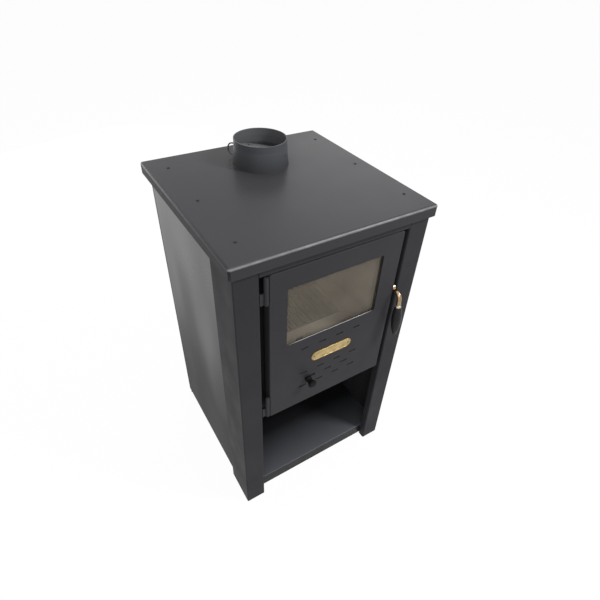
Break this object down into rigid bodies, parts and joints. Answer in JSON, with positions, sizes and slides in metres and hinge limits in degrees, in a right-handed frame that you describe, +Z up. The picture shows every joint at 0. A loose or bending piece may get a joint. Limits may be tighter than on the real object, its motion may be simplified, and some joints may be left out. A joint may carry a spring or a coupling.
{
  "type": "wood stove",
  "caption": "Black sheet steel wood stove on tall posts, with a glazed firebox door, brass plate and handle, air slider, flue collar with damper, and an open wood niche below",
  "frame": {"origin": "on the floor, under the middle of the stove's bounding box", "axes": "+Z up, -Y out of the door, +X to the right of someone facing the door"},
  "size_m": [0.435, 0.4658, 0.799],
  "materials": {
    "hob_steel": "satin black-grey stove paint",
    "casing_black": "matt black stove paint",
    "panel_enamel": "glossy black enamel",
    "firebox_steel": "heat-dulled black steel",
    "plain_steel": "zinc-plated steel",
    "grate_iron": "raw cast iron",
    "firebrick": "rough fireclay brick",
    "seal_rope": "woven glass-fibre rope",
    "stove_glass": "clear heat-proof glass",
    "bright_brass": "polished brass",
    "black_grip": "black heat-proof resin"
  },
  "bodies": {
    "stove_body": {"hob_plate": "hob_steel", "hob_screws": "plain_steel", "front_post_left": "casing_black", "front_post_right": "casing_black", "side_panel_left": "panel_enamel", "side_panel_right": "panel_enamel", "side_rail_left": "casing_black", "side_rail_right": "casing_black", "rear_foot_left": "casing_black", "rear_foot_right": "casing_black", "back_panel": "casing_black", "front_header": "casing_black", "wood_shelf": "casing_black", "firebox_floor": "firebox_steel", "firebox_left_plate": "firebox_steel", "firebox_right_plate": "firebox_steel", "firebox_back_plate": "firebox_steel", "firebox_front_frame": "firebox_steel", "grate_shelf": "firebox_steel", "grate": "grate_iron", "firebricks_left": "firebrick", "firebricks_right": "firebrick", "firebricks_back": "firebrick", "firebricks_floor": "firebrick", "baffle": "firebox_steel", "ash_pan_runners": "firebox_steel", "flue_collar": "hob_steel", "hinge_post_halves": "casing_black", "hinge_pins": "plain_steel", "hinge_washers": "plain_steel", "latch_keeper": "casing_black"},
    "door": {"door_panel": "casing_black", "glass_gasket": "seal_rope", "window_glass": "stove_glass", "glass_clips": "plain_steel", "glass_clip_studs": "plain_steel", "door_seal_channel": "firebox_steel", "door_rope_seal": "seal_rope", "slider_guide_upper": "firebox_steel", "slider_guide_lower": "firebox_steel", "brass_plate": "bright_brass", "brass_plate_rivets": "bright_brass", "hinge_door_halves": "casing_black", "handle_pivot": "plain_steel", "handle_washer": "plain_steel"},
    "door_handle": {"handle_lever": "bright_brass", "handle_neck": "bright_brass", "handle_ferrule": "plain_steel", "handle_grip": "black_grip"},
    "air_slider": {"air_slider": "firebox_steel", "air_knob_stem": "plain_steel", "air_knob": "black_grip"},
    "flue_damper": {"damper_disc": "firebox_steel", "damper_shaft": "plain_steel", "damper_loop": "plain_steel", "damper_screws": "plain_steel"},
    "ash_drawer": {"ash_pan": "plain_steel", "ash_pan_pull": "plain_steel"}
  },
  "joints": [
    {"name": "door_swing", "type": "hinge", "parent": "stove_body", "child": "door", "pos_m": [-0.15, -0.19707, 0.514], "axis": [0, 0, -1], "range_deg": [0, 115]},
    {"name": "handle_lift", "type": "hinge", "parent": "door", "child": "door_handle", "pos_m": [0.1556, -0.19157, 0.56], "axis": [-1, 0, 0], "range_deg": [0, 45]},
    {"name": "air_slide", "type": "slide", "parent": "door", "child": "air_slider", "axis": [1, 0, 0], "range_m": [0, 0.017]},
    {"name": "damper_turn", "type": "hinge", "parent": "stove_body", "child": "flue_damper", "pos_m": [0.007, 0.11493, 0.773], "axis": [-0.6157, 0.788, 0], "range_deg": [-16, 74]},
    {"name": "ash_drawer_slide", "type": "slide", "parent": "stove_body", "child": "ash_drawer", "axis": [0, -1, 0], "range_m": [0, 0.02]}
  ]
}
